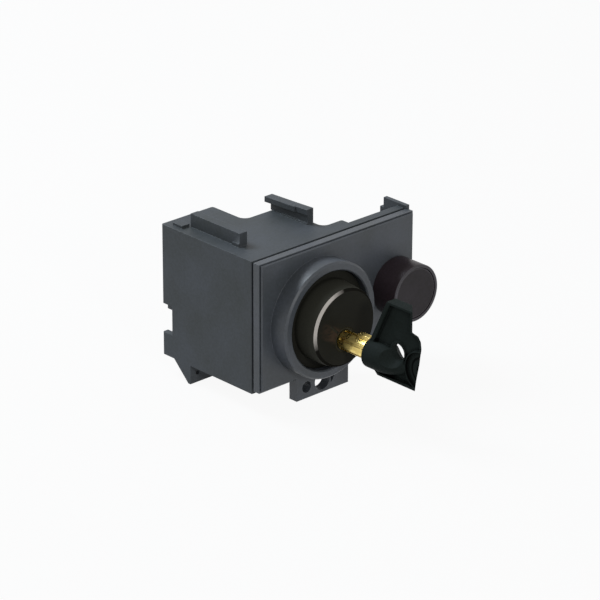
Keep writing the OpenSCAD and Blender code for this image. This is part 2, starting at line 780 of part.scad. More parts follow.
module drive_pinion() placed() color(steel)
    difference() {
        translate([lock_x, pinion_y + gear_t, key_z])
            rotate([90, 0, 0])
                linear_extrude(gear_t) pinion_profile();
        intersection() {
            block([lock_x - tail_sq / 2 - 0.03, pinion_y - 1, key_z - tail_sq / 2 - 0.03],
                [lock_x + tail_sq / 2 + 0.03, pinion_y + gear_t + 1, key_z + tail_sq / 2 + 0.03]);
            rod(lock_x, key_z, shaft_r + 0.03, pinion_y - 2, pinion_y + gear_t + 2);
        }
    }

module pinion_washer() placed() color(steel)
    difference() {
        rod(lock_x, key_z, 3.6, washer_y, screw_y);
        rod(lock_x, key_z, pinion_screw_r + 0.15, washer_y - 1, screw_y + 1);
    }

module pinion_screw() placed() color(steel)
    difference() {
        union() {
            rod(lock_x, key_z, pinion_screw_r - 0.01, pinion_y - 5, screw_y + eps);
            rod(lock_x, key_z, pinion_screw_r + 1.3, screw_y, screw_y + pinion_head_t);
        }
        block([lock_x - 3, screw_y + pinion_head_t - 0.7, key_z - 0.3],
            [lock_x + 3, screw_y + pinion_head_t + 1, key_z + 0.3]);
    }

// The locking bolt: a bar with rack teeth underneath
module lock_bolt() placed() color(steel) {
    slope = tan(pressure);
    foot_half = half_tooth + dedendum * slope;
    tip_half = half_tooth - addendum * slope;
    root_z = rack_z + dedendum;
    deep(bolt_y0, bolt_y1) {
        polygon([
            [bolt_x0, root_z], [bolt_full_x, root_z], [bolt_full_x, bolt_low], [bolt_x1 - 1, bolt_low],
            [bolt_x1, bolt_low + 1], [bolt_x1, bolt_top - 1], [bolt_x1 - 1, bolt_top], [bolt_x0, bolt_top]
        ]);
        for (k = [-4:0])
            translate([lock_x + k * PI * gear_m, 0])
                polygon([
                    [-foot_half, root_z + eps], [-foot_half, root_z], [-tip_half, rack_z - addendum],
                    [tip_half, rack_z - addendum], [foot_half, root_z], [foot_half, root_z + eps]
                ]);
    }
}

module key_shank() placed() color(brass)
    difference() {
        union() {
            rod(lock_x, key_z, tube_r, hub_y - shank_in, tip_y);
            block([lock_x - 1.1, hub_y, key_z], [lock_x + 1.1, hub_y + tab_l, key_z + hub_r - 0.4]);
        }
        rod(lock_x, key_z, tube_bore, face_y - 3, tip_y + 1);
        block([lock_x - 0.5, face_y + 0.6, key_z - tube_r - 1], [lock_x + 0.5, tip_y + 1, key_z]);
        at_pins() rod(0, 0, pin_r + 0.25, tip_y - $cut, tip_y + 1);
        for (a = [25:60:325])
            translate([lock_x, 0, key_z])
                rotate([0, a, 0])
                    block([tube_r - 0.45, hub_y + 1, -0.5], [tube_r + 1, face_y - 0.5, 0.5]);
    }

// The blade's outline on three sides: s runs out from the hub's front, z up from the key axis
module bow_sides()
    polygon([
        [0.3, -4.8], [0.3, 5], [1.3, 6.7], [9.1, bow_up], [bow_l + 9, bow_up], [bow_l + 9, -bow_down],
        [4.8, -bow_down], [2.4, -4.8]
    ]);

// The blade's far end, with a shoulder. The end leans back, so this is its section square to that lean
module bow_end()
    polygon([for (p = [
        [bow_l - 4.8, bow_up + 9], [bow_l - 4.7, 15.3], [bow_l - 1.7, 14.7], [bow_l - 0.4, 13], [bow_l, 10.4],
        [bow_l - 0.9, 3.9], [bow_l - 2.1, -1.6], [bow_l - 3, -bow_down], [bow_l - 4, -bow_down - 9],
        [-9, -bow_down - 9], [-9, bow_up + 9]
    ]) [p[0] * cos(end_lean), p[1] * cos(end_fall) - p[0] * sin(end_lean) * sin(end_fall)]]);

// The blade between two planes across X. With an inset it is the space inside the rim
module bow_layer(x0, x1, inset = 0, shift = 0)
    translate([lock_x, hub_y, key_z])
        mirror([0, 1, 0])
            intersection() {
                translate([0, shift, 0])
                    wide(x0, x1)
                        offset(delta = -inset) bow_sides();
                translate([-bow_t / 2, 0, 0])
                    rotate([0, end_fall, -end_lean])
                        wide(-2 * bow_l, 2 * bow_l)
                            offset(delta = -inset * cos(end_lean)) bow_end();
            }

// A disc across X at the end of the blade
module bow_disc(r, x0, x1)
    translate([lock_x + x0, hub_y - bow_l + 0.9, key_z + 1.2])
        rotate([0, 90, 0])
            cylinder(r = r, h = x1 - x0);

// The round hub: a straight part, then an arc that runs out into the blade
module bow_hub()
    translate([lock_x, hub_y, key_z])
        rotate([90, 0, 0])
            rotate_extrude()
                intersection() {
                    square([hub_r, hub_l + hub_taper]);
                    union() {
                        square([hub_r, hub_l]);
                        translate([hub_r - hub_arc, hub_l]) circle(hub_arc, $fn = 180);
                    }
                }

// The place of the key ring hole
module at_ring_hole() translate([lock_x, hub_y - ring_hole_s, key_z + ring_hole_z]) children();

// A disc across X, with its middle at 0
module across(r, l) rotate([0, 90, 0]) cylinder(r = r, h = l, center = true);

module key_bow() placed() color(black)
    difference() {
        union() {
            difference() {
                bow_layer(-bow_t / 2, bow_t / 2);
                difference() {
                    bow_layer(-bow_t / 2 - 1, rim_h - bow_t / 2, rim_w, rim_extra);
                    bow_disc(dish_r + 0.5, -bow_t, bow_t);
                }
                bow_disc(dish_r, -bow_t / 2 - 1, dish_d - bow_t / 2);
                bow_layer(bow_t / 2 - rim_h, bow_t / 2 + 1, rim_w, rim_extra);
            }
            bow_hub();
            at_ring_hole() across(ring_hole_r + 0.8, ring_hole_l);
        }
        rod(lock_x, key_z, tube_r + 0.01, hub_y - shank_in, hub_y + 5);
        at_ring_hole() {
            across(ring_hole_r, 4 * hub_r);
            for (side = [90, 270])
                rotate([0, side, 0])
                    translate([0, 0, ring_hole_l / 2])
                        cylinder(r1 = ring_hole_r + 0.1, r2 = ring_hole_r + 0.1 + 0.8 * hub_r, h = hub_r);
        }
    }

module button_collar() placed() color(black)
    difference() {
        union() {
            rod(button_x, button_z, collar_r, -collar_h + 0.5, 0);
            rod(button_x, button_z, collar_r - 0.5, -collar_h, -collar_h + 0.5 + eps, r_back = collar_r);
            rod(button_x, button_z, spigot_r, -eps, clip_y);
        }
        rod(button_x, button_z, collar_r - collar_wall, -collar_h - 1, -collar_floor);
        rod(button_x, button_z, rod_r + fit, -collar_floor - 1, clip_y + 1);
    }

module collar_nut() placed() color(black)
    difference() {
        rod(button_x, button_z, collar_nut_r, flange_y, flange_y + collar_nut_t);
        rod(button_x, button_z, spigot_r + fit, flange_y - 1, flange_y + collar_nut_t + 1);
        for (a = [0:45:315])
            translate([button_x, 0, button_z])
                rotate([0, a, 0])
                    block([collar_nut_r - 0.6, flange_y + 0.8, -1],
                        [collar_nut_r + 1, flange_y + collar_nut_t + 1, 1]);
    }

module push_button() placed() color(black)
    difference() {
        union() {
            rod(button_x, button_z, cap_r - 0.4, cap_y, cap_y + 0.4, r_back = cap_r);
            rod(button_x, button_z, cap_r, cap_y + 0.4 - eps, cap_y + cap_l);
        }
        difference() {
            rod(button_x, button_z, cap_r - 1.1, cap_y + cap_t, cap_y + cap_l + 1);
            rod(button_x, button_z, rod_r + 1.2, cap_y + cap_t - 1, cap_y + cap_l - 0.6);
        }
        rod(button_x, button_z, rod_r + 0.01, cap_y + cap_t - 0.6, cap_y + cap_l + 1);
    }

module push_rod() placed() color(steel)
    difference() {
        rod(button_x, button_z, rod_r, cap_y + cap_t - 0.6, clip_y + rod_out);
        difference() {
            rod(button_x, button_z, rod_r + 1, clip_y, clip_y + 0.72);
            rod(button_x, button_z, rod_r - 0.5, clip_y - 1, clip_y + 2);
        }
    }

module button_spring() placed() color(steel)
    coil(button_x, button_z, spring_r, wire_r, cap_y + cap_t + wire_r, -collar_floor - wire_r, 4, 18, 6);

module rod_clip() placed() color(steel)
    difference() {
        rod(button_x, button_z, rod_r + 1.7, clip_y, clip_y + 0.7);
        rod(button_x, button_z, rod_r - 0.49, clip_y - 1, clip_y + 2);
        block([button_x - rod_r + 0.5, clip_y - 1, button_z - rod_r - 3],
            [button_x + rod_r - 0.5, clip_y + 2, button_z]);
    }

rear_housing();
tail_box();
side_flange();
bolt_guide();
front_cover();
cover_screws();
side_cover();
side_cover_screws();
lock_barrel();
barrel_washer();
barrel_nut();
lock_spindle();
key_pins();
pin_block();
driver_pins();
pin_springs();
retaining_pin();
spindle_bush();
drive_pinion();
pinion_washer();
pinion_screw();
lock_bolt();
key_shank();
key_bow();
button_collar();
collar_nut();
push_button();
push_rod();
button_spring();
rod_clip();
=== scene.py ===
import math

import bmesh
import bpy
from mathutils import Matrix, Vector


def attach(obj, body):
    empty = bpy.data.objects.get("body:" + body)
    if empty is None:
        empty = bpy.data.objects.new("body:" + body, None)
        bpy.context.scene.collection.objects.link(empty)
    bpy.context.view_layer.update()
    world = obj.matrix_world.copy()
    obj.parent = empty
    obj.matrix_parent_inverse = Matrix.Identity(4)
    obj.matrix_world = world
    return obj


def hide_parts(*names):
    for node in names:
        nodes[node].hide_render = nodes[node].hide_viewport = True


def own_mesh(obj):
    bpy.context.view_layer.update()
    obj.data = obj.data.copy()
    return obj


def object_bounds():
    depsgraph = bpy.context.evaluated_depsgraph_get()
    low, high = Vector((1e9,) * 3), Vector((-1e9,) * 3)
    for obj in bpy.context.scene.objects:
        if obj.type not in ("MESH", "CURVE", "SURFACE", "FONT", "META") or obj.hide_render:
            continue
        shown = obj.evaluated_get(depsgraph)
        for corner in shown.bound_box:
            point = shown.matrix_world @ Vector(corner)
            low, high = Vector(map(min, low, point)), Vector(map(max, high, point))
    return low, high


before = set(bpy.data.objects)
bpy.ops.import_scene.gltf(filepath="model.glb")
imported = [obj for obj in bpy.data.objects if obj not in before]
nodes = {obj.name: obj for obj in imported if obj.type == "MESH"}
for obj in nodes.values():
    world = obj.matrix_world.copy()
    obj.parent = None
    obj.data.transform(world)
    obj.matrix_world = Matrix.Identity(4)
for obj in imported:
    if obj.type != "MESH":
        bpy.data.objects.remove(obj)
cad_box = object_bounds()


# ---------------------------------------------------------------- rear housing
# The lock's body: one glass-filled nylon moulding in slate grey, with a fine
# spark-eroded grain. Block, tail, flange, clip rib, pad and hook are moulded together.

MM = 0.001


class Wire:
    """An output socket of a node. Sums and products of wires add their Math nodes."""

    def __init__(self, shading, socket):
        self.shading = shading
        self.socket = socket

    def math(self, operation, first, second):
        return self.shading.node("ShaderNodeMath", {"operation": operation}, {0: first, 1: second})

    def __add__(self, other):
        return self.math("ADD", self, other)

    def __radd__(self, other):
        return self.math("ADD", other, self)

    def __sub__(self, other):
        return self.math("SUBTRACT", self, other)

    def __rsub__(self, other):
        return self.math("SUBTRACT", other, self)

    def __mul__(self, other):
        return self.math("MULTIPLY", self, other)

    def __rmul__(self, other):
        return self.math("MULTIPLY", other, self)


class Shading:
    """A node tree. All that is added to it comes from the method node."""

    def __init__(self, tree):
        self.tree = tree

    def node(self, kind, settings=None, values=None, out=0):
        """Adds a node: its settings come first, then the values or wires of its sockets."""
        made = self.tree.nodes.new(kind)
        for key, value in (settings or {}).items():
            setattr(made, key, value)
        for key, value in (values or {}).items():
            self.feed(made.inputs[key], value)
        return Wire(self, made.outputs[out])

    def feed(self, socket, value):
        if isinstance(value, Wire):
            self.tree.links.new(value.socket, socket)
        else:
            socket.default_value = value


class Finish(Shading):
    """A material with one Principled shader."""

    def __init__(self, name, roughness=0.5, metallic=0.0, specular=0.5):
        self.material = bpy.data.materials.new(name)
        self.material.use_nodes = True
        super().__init__(self.material.node_tree)
        self.shader = self.tree.nodes["Principled BSDF"]
        self.shader.inputs["Roughness"].default_value = roughness
        self.shader.inputs["Metallic"].default_value = metallic
        self.shader.inputs["Specular IOR Level"].default_value = specular

    def place(self):
        return self.node("ShaderNodeTexCoord", out="Object")

    def noise(self, scale, detail, stretch=None, roughness=0.5):
        """Noise in the object's own space. scale is the number of blotches in a metre."""
        where = self.place()
        if stretch:
            where = self.node("ShaderNodeMapping", {}, {"Vector": where, "Scale": stretch})
        return self.node("ShaderNodeTexNoise", {}, {
            "Vector": where, "Scale": scale, "Detail": detail, "Roughness": roughness})

    def ramp(self, wire, low, high):
        """0 where the wire is at low, 1 where it is at high, and held beyond them."""
        return self.node("ShaderNodeMapRange", {"clamp": True}, {"Value": wire, "From Min": low, "From Max": high})

    def mix(self, factor, first, second):
        """A colour between two colours."""
        return self.node("ShaderNodeMix", {"data_type": "RGBA"}, {0: factor, 6: first, 7: second}, out=2)

    def vector(self, operation, first, second=(0, 0, 0), out="Vector"):
        return self.node("ShaderNodeVectorMath", {"operation": operation}, {0: first, 1: second}, out=out)

    def edges(self, radius):
        """The rounded normal, and a mask that is 1 on the edges of a piece and 0 on its flats."""
        soft = self.node("ShaderNodeBevel", {"samples": 6}, {"Radius": radius})
        flat = self.node("ShaderNodeNewGeometry", out="Normal")
        return soft, self.ramp(1 - self.vector("DOT_PRODUCT", soft, flat, out="Value"), 0.02, 0.25)

    def openness(self, reach, low, high, own_piece_only):
        """0 in corners and grooves that are narrower than reach, 1 on open faces."""
        settings = {"samples": 8, "only_local": own_piece_only}
        open_share = self.node("ShaderNodeAmbientOcclusion", settings, {"Distance": reach}, out="AO")
        return self.ramp(open_share, low, high)

    def bump(self, height, distance, normal):
        return self.node("ShaderNodeBump", {}, {"Height": height, "Distance": distance, "Normal": normal})

    def done(self, color, **wires):
        for key, value in dict(wires, Base_Color=color).items():
            self.feed(self.shader.inputs[key.replace("_", " ")], value)
        return self.material


def shade(red, green, blue):
    """A colour written as on screen, 0 to 255, as the shader's linear values."""
    parts = []
    for part in (red, green, blue):
        part /= 255
        parts.append(part / 12.92 if part <= 0.04045 else ((part + 0.055) / 1.055) ** 2.4)
    return (*parts, 1)


def tinted(color, red, green=None, blue=None):
    """A colour times one share, or times a share for each of red, green and blue."""
    shares = (red, red, red) if green is None else (red, green, blue)
    return tuple(part * share for part, share in zip(color, shares)) + (1,)


def dress(node, material):
    """Gives a CAD node its finish through its material slots."""
    slots = nodes[node].data.materials
    slots.clear()
    slots.append(material)


# Near black, painted into the colour as shade in corners and recesses.
painted_shade = (0.001, 0.001, 0.001, 1)


def moulded(name, color, worn, specular, grain=4200, grain_depth=0.018 * MM, roughness=0.5, rounding=0.2 * MM,
            shade_reach=0, shade_mask=None):
    """Moulded plastic: fine grain, cloudy colour, edges rubbed to worn. shade_reach is how far painted shade
    darkens inner corners, and shade_mask is a function that gives a mask of other places painted in shade."""
    f = Finish(name, specular=specular)
    soft, edge = f.edges(rounding)
    cloud = f.noise(60, 3.0)
    mottle = f.noise(850, 3.0, roughness=0.7)
    scuff = f.ramp(f.noise(900, 4.0), 0.42, 0.68)
    rub = edge * (0.35 + 0.65 * scuff)
    blotches = f.ramp(0.6 * cloud + 0.4 * mottle, 0.35, 0.65)
    tint = f.mix(blotches, tinted(color, 0.74, 0.76, 0.72), tinted(color, 1.2, 1.2, 1.27))
    tint = f.mix(rub, tint, worn)
    # Painted shade: inner corners narrower than the reach, and the places the mask gives, are darkened to near
    # black.
    if shade_reach:
        tint = f.mix(f.openness(shade_reach, 0.5, 0.92, own_piece_only=True), painted_shade, tint)
    if shade_mask:
        tint = f.mix(shade_mask(f), tint, painted_shade)
    return f.done(tint, Roughness=roughness + 0.12 * cloud - 0.12 * rub,
                  Normal=f.bump(f.noise(grain, 1.0), grain_depth, soft))


def spot(x, y, z):
    """A place measured from the front panel's bottom left corner, in millimetres, as a point of the frame."""
    return Vector((x - 22.2, y, z + 4.4)) * MM


def linked(name, data):
    made = bpy.data.objects.new(name, data)
    bpy.context.scene.collection.objects.link(made)
    return made


def smoothed(mesh, sharp=32):
    """Shades a mesh smooth, with the edges that turn by more than sharp degrees kept."""
    mesh.shade_smooth()
    mesh.set_sharp_from_angle(angle=math.radians(sharp))


def piece_of(name, bm, finishes):
    """Makes a smooth-shaded object from a bmesh, with its sharp corners kept."""
    bmesh.ops.recalc_face_normals(bm, faces=bm.faces)
    mesh = bpy.data.meshes.new(name)
    bm.to_mesh(mesh)
    bm.free()
    for finish in finishes:
        mesh.materials.append(finish)
    smoothed(mesh)
    return linked(name, mesh)


def keep(piece, sharp=32):
    """Takes a piece's modifiers into its mesh."""
    graph = bpy.context.evaluated_depsgraph_get()
    mesh = bpy.data.meshes.new_from_object(piece.evaluated_get(graph))
    piece.modifiers.clear()
    piece.data = mesh
    smoothed(mesh, sharp)


def carve(piece, tool_mesh, operation="DIFFERENCE", move=None):
    """Cuts a bmesh tool out of a piece, or joins it on, and keeps the result as the piece's mesh."""
    tool = piece_of("tool", tool_mesh, list(piece.data.materials))
    if move:
        tool.data.transform(move)
    cut = piece.modifiers.new("cut", "BOOLEAN")
    cut.operation = operation
    cut.object = tool
    cut.solver = "EXACT"
    keep(piece)
    bpy.data.objects.remove(tool)


def zone(node, axis=0, seam=None):
    """A copy of a CAD node's mesh. Its cut face at the seam is drawn back, so that it runs into the next zone."""
    near, overlap = 0.005 * MM, 0.05 * MM
    bm = bmesh.new()
    bm.from_mesh(nodes[node].data)
    bmesh.ops.remove_doubles(bm, verts=bm.verts, dist=0.001 * MM)
    for vert in bm.verts:
        if seam is not None and abs(vert.co[axis] - seam) < near:
            vert.co[axis] -= overlap
    return bm


slate = moulded("slate_moulding", shade(58, 62, 65), shade(92, 98, 106), specular=0.26)
tail_seam, flange_seam = spot(0, 36.7, 0).y, spot(41.6, 0, 0).x
housing = piece_of("housing", zone("rear_housing"), [slate])
carve(housing, zone("tail_box", 1, tail_seam), "UNION")
carve(housing, zone("side_flange", 0, flange_seam), "UNION")
keep(housing, sharp=2)
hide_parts("rear_housing", "tail_box", "side_flange")
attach(housing, "housing")
dress("bolt_guide", slate)


# ----------------------------------------------------------------- front cover
# A second nylon moulding, screwed on from behind. Its raised panel, collar ring
# and fixing lug carry the same grain as the housing, a little smoother.

cover_finish = moulded("cover_moulding", shade(63, 67, 72), shade(108, 115, 123), grain=5200, grain_depth=0.01 * MM,
                       roughness=0.37, specular=0.42)
dress("front_cover", cover_finish)


# ---------------------------------------------------------- screws and washers
# Small fasteners in zinc-plated steel. Four pan-head screws hold the cover and four the
# side cover. A nut and washer hold the barrel, a screw and washer the pinion, and a
# cross pin keeps the pin block from turning.

def plated(name, color, roughness=0.3):
    """Zinc plate or bare steel: clouded, with dull patches and bright edges."""
    f = Finish(name, metallic=1.0)
    cloud = f.noise(700, 4.0)
    soft, edge = f.edges(0.12 * MM)
    tint = f.mix(f.ramp(cloud, 0.35, 0.7), color, tinted(color, 0.7))
    return f.done(f.mix(0.5 * edge, tint, shade(220, 222, 225)), Roughness=roughness + 0.25 * cloud,
                  Normal=f.bump(f.noise(2500, 2.0), 0.006 * MM, soft))


zinc = plated("zinc_plate", shade(176, 178, 182))
for name in ("cover_screws", "side_cover_screws", "barrel_washer", "barrel_nut", "pinion_washer", "pinion_screw",
             "retaining_pin"):
    dress(name, zinc)


# ------------------------------------------------------------------ side cover
# A thin nylon plate that closes the lock block on the breaker's side. Four screws
# hold it, and the bolt comes out through its slot.

dress("side_cover", slate)


# ----------------------------------------------------------------- lock barrel
# Die-cast and turned, sprayed satin black: a rosette in the ring's recess, a thick head
# with a bevel that carries a painted highlight, and an eccentric hole for the tubular key. The
# head's side is made lighter with painted light. A short line milled beside the hole shows how the key goes in.

lock = spot(26.8, 0, 23.1)
key_axis = spot(26.8, 0, 18.1)
face_y = -15.3
bevel_depth = 1.0
head_low = 0.4 * MM
head_end_y = -6
brass_dust = shade(57, 47, 40)


def softened(outline, radius):
    """An open outline with its corners rounded. radius may be one number or one for each point."""
    steps = 4
    radii = radius if isinstance(radius, (list, tuple)) else [radius] * len(outline)
    points = [Vector(p) for p in outline]
    made = [points[0]]
    for before, corner, after, r in zip(points, points[1:], points[2:], radii[1:]):
        one, two = (before - corner), (after - corner)
        turn = one.angle(two)
        reach = min(r / math.tan(turn / 2), 0.48 * one.length, 0.48 * two.length) if turn < 3.1 else 0
        if reach < 1e-6:
            made.append(corner)
            continue
        start, end = corner + one.normalized() * reach, corner + two.normalized() * reach
        for i in range(steps + 1):
            s = i / steps
            made.append(start * (1 - s) ** 2 + corner * 2 * s * (1 - s) + end * s * s)
    made.append(points[-1])
    return made


def turned(outline, centre, sides, axis="Y", marks=()):
    """A bmesh turned on a lathe, along X or Y: outline gives (along, radius) in millimetres. marks are the
    (low, high) stretches that take the second finish, with the least radius as a third number."""
    bm = bmesh.new()
    rings = []
    for along, radius in outline:
        ring = []
        for i in range(1 if radius < 1e-4 else sides):
            a = 2 * math.pi * i / sides
            across, upward = radius * math.cos(a), radius * math.sin(a)
            offset = (along, across, upward) if axis == "X" else (across, along, upward)
            ring.append(bm.verts.new(centre + Vector(offset) * MM))
        rings.append(ring)
    for (along, radius), (beyond, wider), one, two in zip(outline, outline[1:], rings, rings[1:]):
        number = 0
        for low, high, least in marks:
            if low <= (along + beyond) / 2 <= high and (radius + wider) / 2 >= least:
                number = 1
        for i in range(sides):
            j = (i + 1) % sides
            corners = [one[0]] if len(one) == 1 else [one[i], one[j]]
            corners += [two[0]] if len(two) == 1 else [two[j], two[i]]
            if len(corners) > 2:
                bm.faces.new(corners).material_index = number
    return bm


def boxed(low, high):
    """A bmesh box between two corners in millimetres, measured as spot measures."""
    bm = bmesh.new()
    bmesh.ops.create_cube(bm, size=1)
    low, high = spot(*low), spot(*high)
    for vert in bm.verts:
        vert.co = Vector([low[i] + (high[i] - low[i]) * (vert.co[i] + 0.5) for i in range(3)])
    return bm


def towards(f, centre, angle, reach):
    """How far a point lies from centre in a direction across the front, 1 at the given reach."""
    way = Vector((math.cos(math.radians(angle)), 0, math.sin(math.radians(angle)))) / reach
    return f.vector("DOT_PRODUCT", f.place(), tuple(way), out="Value") - centre.dot(way)


def painted(name, color, worn):
    """Satin black paint on turned metal, rubbed at the edges, with painted light that makes the head's side
    lighter, and with brass rubbed off the key in a streak beside its hole."""
    f = Finish(name, specular=0.03)
    soft, edge = f.edges(0.12 * MM)
    cloud = f.noise(120, 3.0)
    base = f.mix(f.ramp(cloud, 0.3, 0.7), color, tinted(color, 1.3))

    depth = f.node("ShaderNodeSeparateXYZ", {}, {0: f.place()}, out="Y")
    front = f.ramp(depth, (face_y + 0.2) * MM, (face_y + 0.16) * MM)
    head_side_light = f.ramp(depth, -5.5 * MM, -7.1 * MM)
    # Painted light: the head's side is painted 2.3 times lighter than its front face.
    base = f.mix(head_side_light - front, base, tinted(color, 2.3))

    streak_way, streak_length, streak_width = 149, 15 * MM, 3.2 * MM
    along = towards(f, key_axis, streak_way, streak_length)
    beside = towards(f, key_axis, streak_way - 90, streak_width)
    rubbed = f.ramp(1 - beside * beside, 0.0, 0.6) * f.ramp(along, 0.1, 0.3) * f.ramp(1 - along, 0.0, 0.35)
    patchy = f.ramp(f.noise(900, 3.0, stretch=(0.35, 1.0, 1.0)), 0.3, 0.6)
    base = f.mix(rubbed * front * patchy, base, brass_dust)

    speck = f.ramp(f.noise(1500, 3.0), 0.5, 0.75)
    return f.done(f.mix(edge * (0.25 + 0.6 * speck), base, worn), Roughness=0.45 + 0.15 * cloud,
                  Normal=f.bump(f.noise(3000, 2.0), 0.006 * MM, soft))


def painted_highlight(name, color, highlight):
    """The bevel: a painted highlight, a bright arc towards the upper left on the dark paint."""
    f = Finish(name, specular=0.0)
    streak = f.noise(2600, 3.0, stretch=(1.0, 0.2, 1.0))
    arc = f.ramp(towards(f, lock, 146, 14.2 * MM) + 0.1 * streak, 0.62, 0.92)
    return f.done(f.mix(arc, color, highlight), Roughness=0.5 - 0.15 * arc + 0.1 * streak)


barrel_paint = painted("barrel_paint", shade(30, 30, 26), shade(60, 56, 50))
# Painted highlight: a bright arc on the bevel towards the upper left.
bevel_highlight = painted_highlight("bevel_painted_highlight", shade(27, 26, 23), shade(186, 180, 174))
barrel_outline = softened([
    (face_y, 0), (face_y, 13.95), (face_y + bevel_depth, 14.95), (face_y + 4, 15.3), (-4.9, 15.5),
    (-4.9, 18.8), (-3.3, 18.8), (-3.3, 15.5), (3.9, 15.5), (3.9, 11.5), (25.7, 11.5), (25.7, 0)], 0.18)
# The bevel's stretch takes the painted highlight.
bevel = (face_y + 0.05, face_y + bevel_depth - 0.05, 12)
barrel_mesh = turned(barrel_outline, lock, sides=144, marks=[bevel])
for vert in barrel_mesh.verts:
    if vert.co.y < head_end_y * MM:
        vert.co.z -= head_low
barrel = piece_of("barrel", barrel_mesh, [barrel_paint, bevel_highlight])

key_hole = [(face_y - 1, 0), (face_y - 1, 4.9), (face_y, 4.9), (face_y + 0.5, 4.35), (face_y + 0.5, 3.85),
            (-6.2, 3.85), (-6.2, 5.6), (26.7, 5.6), (26.7, 0)]
carve(barrel, turned(key_hole, key_axis, sides=72))
index_turn = Matrix.Rotation(math.radians(-135), 4, "Y")
index_place = Matrix.Translation(key_axis) @ index_turn @ Matrix.Translation(-key_axis)
carve(barrel, boxed((32, face_y - 1, 17.65), (37.2, face_y + 0.35, 18.55)), move=index_place)
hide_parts("lock_barrel")
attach(barrel, "housing")


# ------------------------------------------------------- spindle and its train
# Turned brass: the spindle with its post, the pin block, the pins and the bush.
# The pinion is milled steel, on the square end of the spindle.

def brass_finish(name, color, roughness=0.22, dull=0.55, shade_reach=0):
    """Machined brass: lathe lines, tarnish in blotches, bright edges. shade_reach is how far painted shade darkens
    grooves and the places where other parts come close.
    """
    groove_shade = (0.02, 0.012, 0.004, 1)
    f = Finish(name, metallic=1.0)
    soft, edge = f.edges(0.1 * MM)
    tarnish = f.ramp(f.noise(260, 4.0), 0.45, 0.75)
    tint = f.mix(dull * tarnish, color, tinted(color, 0.6))
    tint = f.mix(0.6 * edge, tint, shade(250, 225, 160))
    # Painted shade: grooves, and the places near other parts, are darkened.
    if shade_reach:
        tint = f.mix(f.openness(shade_reach, 0.3, 0.8, own_piece_only=False), groove_shade, tint)
    lathe_lines = f.noise(9000, 2.0, stretch=(1.0, 0.04, 1.0))
    return f.done(tint, Roughness=roughness + 0.2 * tarnish, Normal=f.bump(lathe_lines, 0.01 * MM, soft))


brass = brass_finish("turned_brass", shade(196, 160, 88))
for name in ("key_pins", "pin_block", "driver_pins", "spindle_bush"):
    dress(name, brass)
# The spindle's brass is painted dark as the shade inside the key hole.
dress("lock_spindle", brass_finish("brass_in_painted_shade", shade(104, 80, 46), 0.4))
dress("drive_pinion", plated("pinion_steel", shade(150, 152, 156)))


# ------------------------------------------------------------------- lock bolt
# Ground steel bar with rack teeth, oiled. It slides in the chamber behind the barrel,
# and the pinion drives it out at the side.

dress("lock_bolt", plated("ground_steel", shade(168, 170, 174), 0.2))


# --------------------------------------------------------------------- springs
# Coil springs of hard-drawn steel wire: one behind each lock pin, and one around the
# button's rod that shortens as the button goes in. The rod's clip is the same steel.

def copy_of(node, name, finish):
    """A new piece that starts from a CAD node's mesh."""
    made = linked(name, nodes[node].data.copy())
    made.data.materials.clear()
    made.data.materials.append(finish)
    return made


spring_steel = plated("spring_wire", shade(130, 130, 128), 0.25)
for name in ("pin_springs", "rod_clip"):
    dress(name, spring_steel)

spring_y, seat_y, button_travel = -9.7, -2.2, 3.0
button_coil = copy_of("button_spring", "button_coil", spring_steel)
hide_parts("button_spring")
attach(button_coil, "housing")
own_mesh(button_coil)


# ----------------------------------------------------------------- push button
# Guard sleeve and cap, both moulded in glossy black plastic with a trace of purple.
# The sleeve's spigot goes through cover and flange, and a ring nut holds it behind.

button = spot(66.3, 0, 23.5)
sleeve_worn, cap_worn = shade(128, 122, 130), shade(120, 116, 122)


def button_plastic(name, color, worn, specular, roughness, rounding=0.4 * MM):
    return moulded(name, color, worn, specular, grain=5200, grain_depth=0.004 * MM, roughness=roughness,
                   rounding=rounding)


sleeve_black = button_plastic("sleeve_black", shade(46, 38, 42), sleeve_worn, 0.14, 0.32)
# Painted highlight: the front rims of sleeve and cap take a lighter grey than the rest of the black plastic.
rim_highlight = button_plastic("rim_highlight", shade(76, 73, 77), sleeve_worn, 0.14, 0.3, rounding=0.2 * MM)
cap_black = button_plastic("cap_black", shade(48, 44, 47), cap_worn, 0.12, 0.3)

sleeve_outline = [(seat_y, 0), (seat_y, 9.9), (-11.6, 9.9), (-11.6, 11.1), (0, 11.1), (0, 7.4), (12.4, 7.4),
                  (12.4, 0)]
sleeve_rounding = [0, 0.4, 0.25, 0.4, 0.1, 0.1, 0.3, 0]
# The sleeve's front rim takes the painted highlight.
sleeve_rim = (-11.62, -11.3, 9.5)
sleeve_mesh = turned(softened(sleeve_outline, sleeve_rounding), button, sides=128, marks=[sleeve_rim])
sleeve = piece_of("button_sleeve", sleeve_mesh, [sleeve_black, rim_highlight])
carve(sleeve, turned([(-3, 0), (-3, 2.55), (13, 2.55), (13, 0)], button, sides=48))
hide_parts("button_collar")
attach(sleeve, "housing")

cap_outline = [(-11.2, 0), (-11.28, 8.6), (-11.3, 9.8), (-5.7, 9.8), (-5.7, 8.7), (spring_y, 8.7), (spring_y, 3.7),
               (-6.3, 3.7), (-6.3, 2.51), (-10.3, 2.51), (-10.3, 0)]
cap_rounding = [0, 0, 0.5, 0.2, 0.2, 0.3, 0.3, 0.1, 0, 0, 0]
# The cap's outer rim takes the painted highlight.
cap_rim = (-11.3, -10.9, 9.2)
cap_mesh = turned(softened(cap_outline, cap_rounding), button, sides=128, marks=[cap_rim])
cap = piece_of("button_cap", cap_mesh, [cap_black, rim_highlight])
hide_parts("push_button")
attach(cap, "button")
dress("collar_nut", sleeve_black)
dress("push_rod", zinc)


